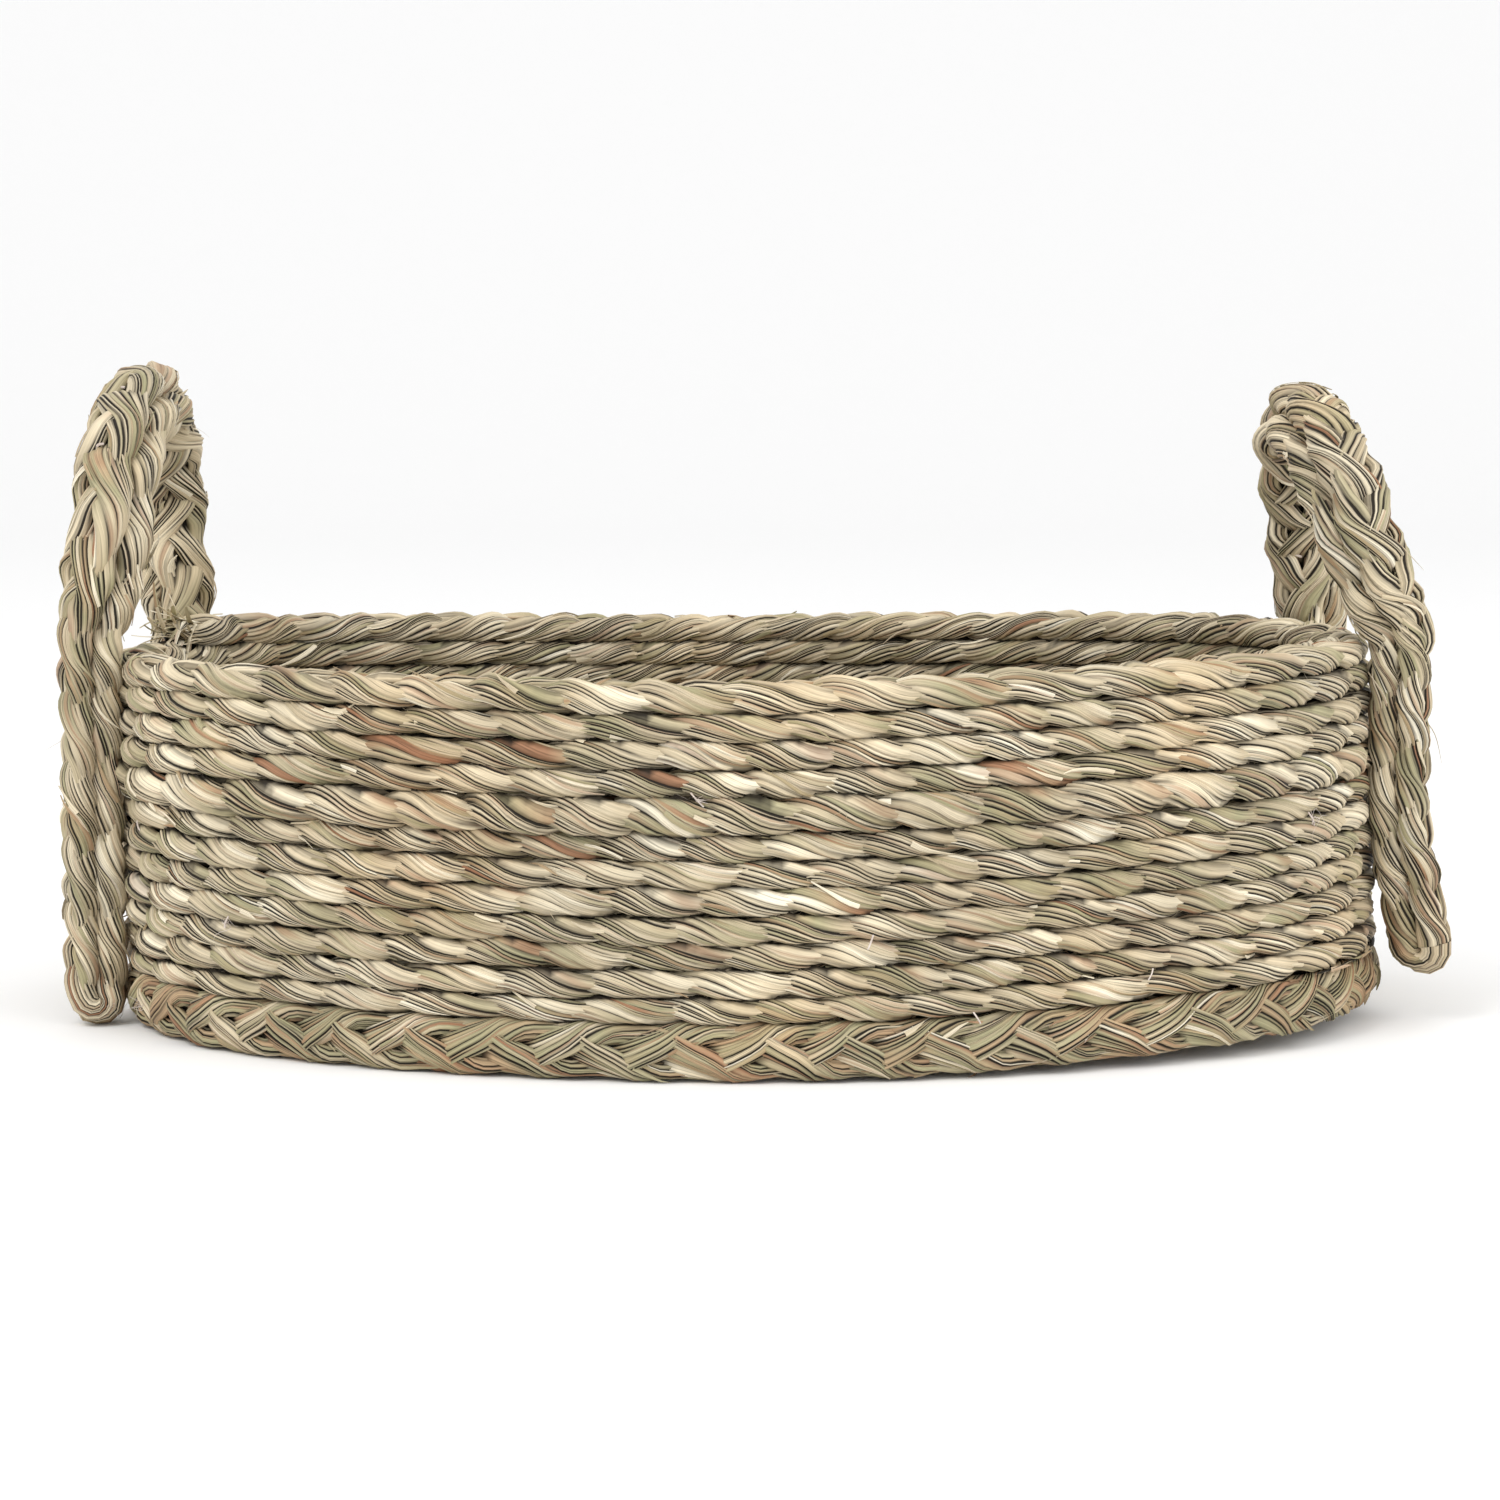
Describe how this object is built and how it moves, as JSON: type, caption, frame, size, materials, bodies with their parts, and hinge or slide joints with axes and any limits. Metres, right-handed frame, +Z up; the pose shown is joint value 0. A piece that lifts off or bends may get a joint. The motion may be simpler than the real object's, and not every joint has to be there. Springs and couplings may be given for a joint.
{
  "type": "storage basket",
  "caption": "Low oval storage basket wound from a flat seagrass plait, with a plaited foot and a doubled plait handle arching over each end.",
  "frame": {"origin": "under the middle of the outline, on the surface that the basket stands on", "axes": "+X along the basket's length, towards the right handle; +Y across it, towards the back; +Z up"},
  "size_m": [0.4282, 0.259, 0.2049],
  "materials": {
    "body_plait": "dry plaited grass, satin",
    "foot_plait": "dry plaited grass, satin",
    "handle_plait": "dry plaited grass, satin",
    "sewing_thread": "matt spun thread"
  },
  "bodies": {
    "basket": {"base_start": "body_plait", "base_stitches": "sewing_thread", "base_turn_01": "body_plait", "base_turn_02": "body_plait", "base_turn_03": "body_plait", "base_turn_04": "body_plait", "base_turn_05": "body_plait", "base_turn_06": "body_plait", "foot_plait": "foot_plait", "foot_stitches": "sewing_thread", "left_handle_back_leg": "handle_plait", "left_handle_front_leg": "handle_plait", "left_handle_leg_stitches": "sewing_thread", "right_handle_back_leg": "handle_plait", "right_handle_front_leg": "handle_plait", "right_handle_leg_stitches": "sewing_thread", "wall_course_01": "body_plait", "wall_course_02": "body_plait", "wall_course_03": "body_plait", "wall_course_04": "body_plait", "wall_course_05": "body_plait", "wall_course_06": "body_plait", "wall_course_07": "body_plait", "wall_course_08": "body_plait", "wall_course_09": "body_plait", "wall_course_10": "body_plait", "wall_course_11": "body_plait", "wall_course_12": "body_plait", "wall_stitches": "sewing_thread"},
    "left_handle_arch": {"left_handle_arch_inner_plait": "handle_plait", "left_handle_arch_outer_plait": "handle_plait", "left_handle_arch_stitches": "sewing_thread"},
    "right_handle_arch": {"right_handle_arch_inner_plait": "handle_plait", "right_handle_arch_outer_plait": "handle_plait", "right_handle_arch_stitches": "sewing_thread"}
  },
  "joints": [
    {"name": "left_handle_flex", "type": "hinge", "parent": "basket", "child": "left_handle_arch", "pos_m": [-0.19697, 0.01419, 0.12], "axis": [0.1392, 0.9903, 0], "range_deg": [-20, 18]},
    {"name": "right_handle_flex", "type": "hinge", "parent": "basket", "child": "right_handle_arch", "pos_m": [0.19697, 0.01419, 0.12], "axis": [-0.1392, 0.9903, 0], "range_deg": [-8, 30]}
  ]
}
